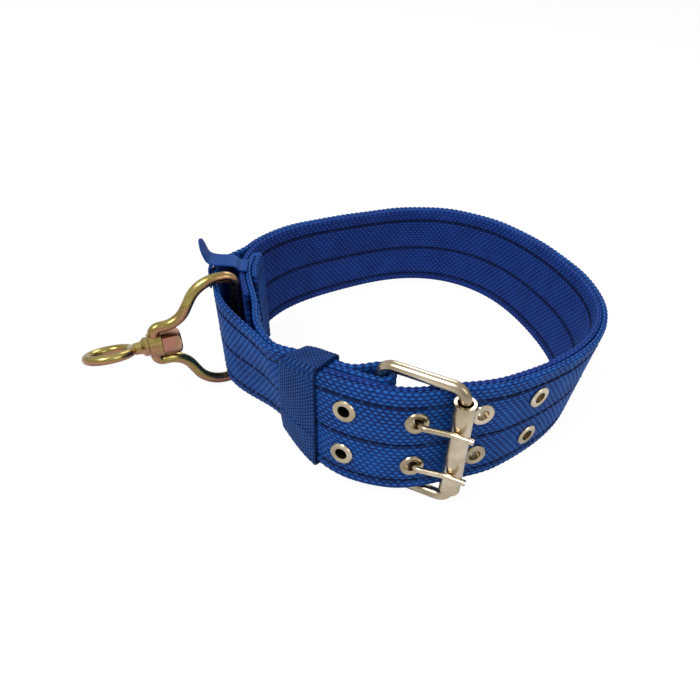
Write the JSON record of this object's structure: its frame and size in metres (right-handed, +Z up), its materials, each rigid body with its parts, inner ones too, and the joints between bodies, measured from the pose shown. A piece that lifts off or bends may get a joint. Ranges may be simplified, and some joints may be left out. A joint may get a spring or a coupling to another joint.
{
  "type": "dog collar",
  "caption": "Wide double-ply webbing dog collar folded round a roller buckle with prongs, with a keeper, a tape loop and a D-ring that carries a swivel lead ring.",
  "frame": {"origin": "middle of the neck loop, level with the bottom edge of the webbing", "axes": "+Z up along the width of the webbing, +X to the wearer's right of the buckle, -Y towards the buckle at the front"},
  "size_m": [0.2362, 0.19, 0.0701],
  "materials": {
    "outer_webbing": "coarse woven polypropylene webbing, royal blue",
    "liner_webbing": "woven webbing, navy inside",
    "keeper_webbing": "herringbone webbing, dark blue",
    "tape": "smooth fine tape, bright blue",
    "thread": "polyester sewing thread, dark blue",
    "nickel_wire": "nickel-plated steel wire, warm bright",
    "nickel_tube": "nickel-plated steel tube",
    "nickel_eyelet": "nickel-plated pressed brass",
    "yellow_zinc": "yellow-passivated zinc with iridescence",
    "dark_zinc": "zinc-plated nut with a dark end"
  },
  "bodies": {
    "collar": {"main_strap": "outer_webbing", "liner": "liner_webbing", "keeper": "keeper_webbing", "tape_loop": "tape", "eyelets_1": "nickel_eyelet", "eyelets_2": "nickel_eyelet", "eyelets_3": "nickel_eyelet", "eyelets_4": "nickel_eyelet", "washers_1": "nickel_eyelet", "washers_2": "nickel_eyelet", "washers_3": "nickel_eyelet", "washers_4": "nickel_eyelet", "top_stitching": "thread", "middle_stitching": "thread", "bottom_stitching": "thread", "end_stitching": "thread"},
    "buckle_frame": {"buckle_frame": "nickel_wire"},
    "roller": {"roller": "nickel_tube"},
    "prong_upper": {"prong_upper": "nickel_wire"},
    "prong_lower": {"prong_lower": "nickel_wire"},
    "d_ring": {"d_ring": "yellow_zinc"},
    "swivel": {"swivel_eye": "yellow_zinc", "swivel_nut": "dark_zinc"}
  },
  "joints": [
    {"name": "frame_tilt", "type": "hinge", "parent": "collar", "child": "buckle_frame", "pos_m": [-0.01393, -0.07622, 0.025], "axis": [0, 0, -1], "range_deg": [0, 3]},
    {"name": "roller_spin", "type": "hinge", "parent": "buckle_frame", "child": "roller", "pos_m": [0.01864, -0.08849, 0.025], "axis": [0, 0, 1], "continuous": true},
    {"name": "prong_upper_lift", "type": "hinge", "parent": "buckle_frame", "child": "prong_upper", "pos_m": [-0.01393, -0.07622, 0.025], "axis": [0, 0, -1], "range_deg": [0, 3]},
    {"name": "prong_lower_lift", "type": "hinge", "parent": "buckle_frame", "child": "prong_lower", "pos_m": [-0.01393, -0.07622, 0.025], "axis": [0, 0, -1], "range_deg": [0, 3]},
    {"name": "d_ring_swing", "type": "hinge", "parent": "collar", "child": "d_ring", "pos_m": [-0.08543, -0.01985, 0.025], "axis": [0, 0, 1], "range_deg": [-38, 28]},
    {"name": "swivel_spin", "type": "hinge", "parent": "d_ring", "child": "swivel", "pos_m": [-0.08543, -0.01985, 0.025], "axis": [-0.8508, -0.5255, 0], "continuous": true}
  ]
}
